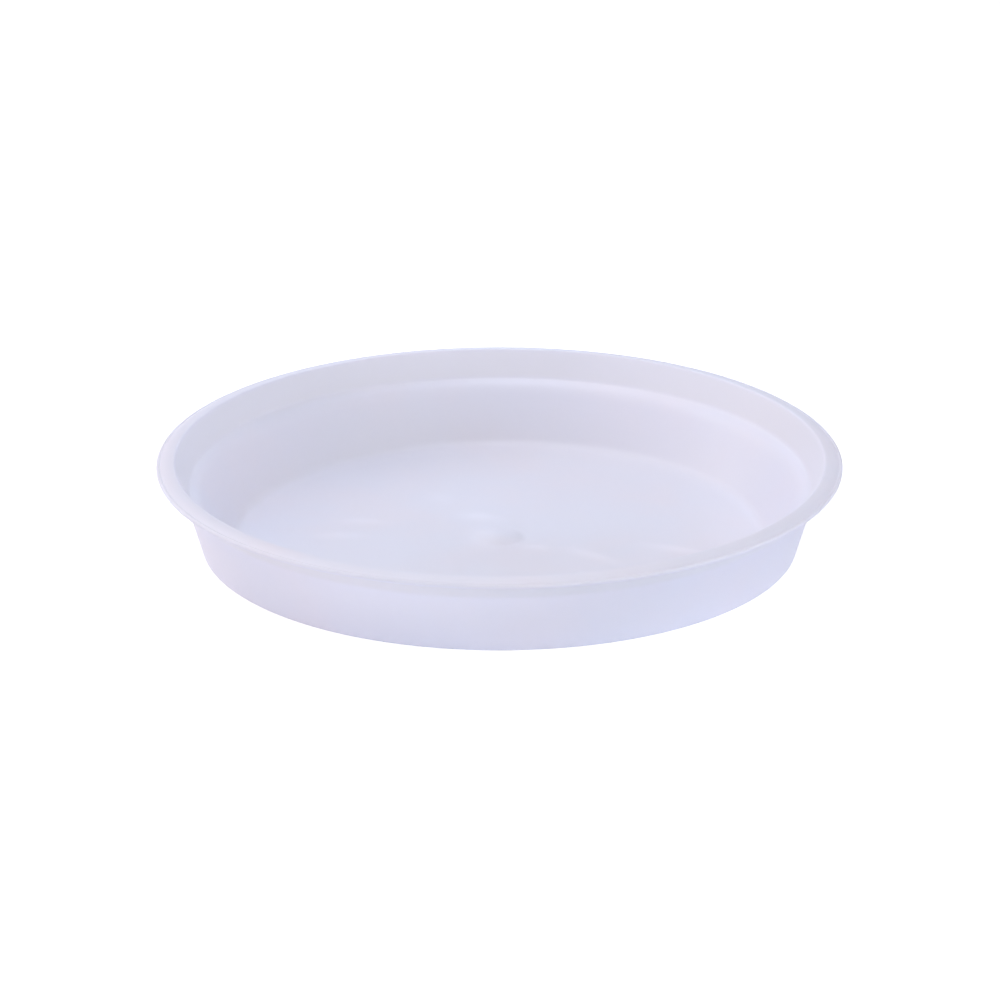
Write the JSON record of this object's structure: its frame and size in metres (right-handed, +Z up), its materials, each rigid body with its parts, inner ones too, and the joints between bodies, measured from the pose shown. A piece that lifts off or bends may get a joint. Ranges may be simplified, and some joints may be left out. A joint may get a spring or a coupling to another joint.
{
  "type": "plant saucer",
  "caption": "Round shallow drip tray for a plant pot: flat floor, sloping bowl wall with a stacking ledge inside, flared rim with a beaded lip, and the outer wall carried down to the table as a foot.",
  "frame": {"origin": "centre of the standing ring, on the surface that the saucer stands on", "axes": "+Z up along the saucer's axis, out of its open side; +X to the right in the picture, +Y away from the camera"},
  "size_m": [0.2, 0.2, 0.0258],
  "materials": {
    "white_plastic": "semi-gloss moulded polypropylene, cool white"
  },
  "bodies": {
    "root": {"saucer": "white_plastic"}
  },
  "joints": []
}
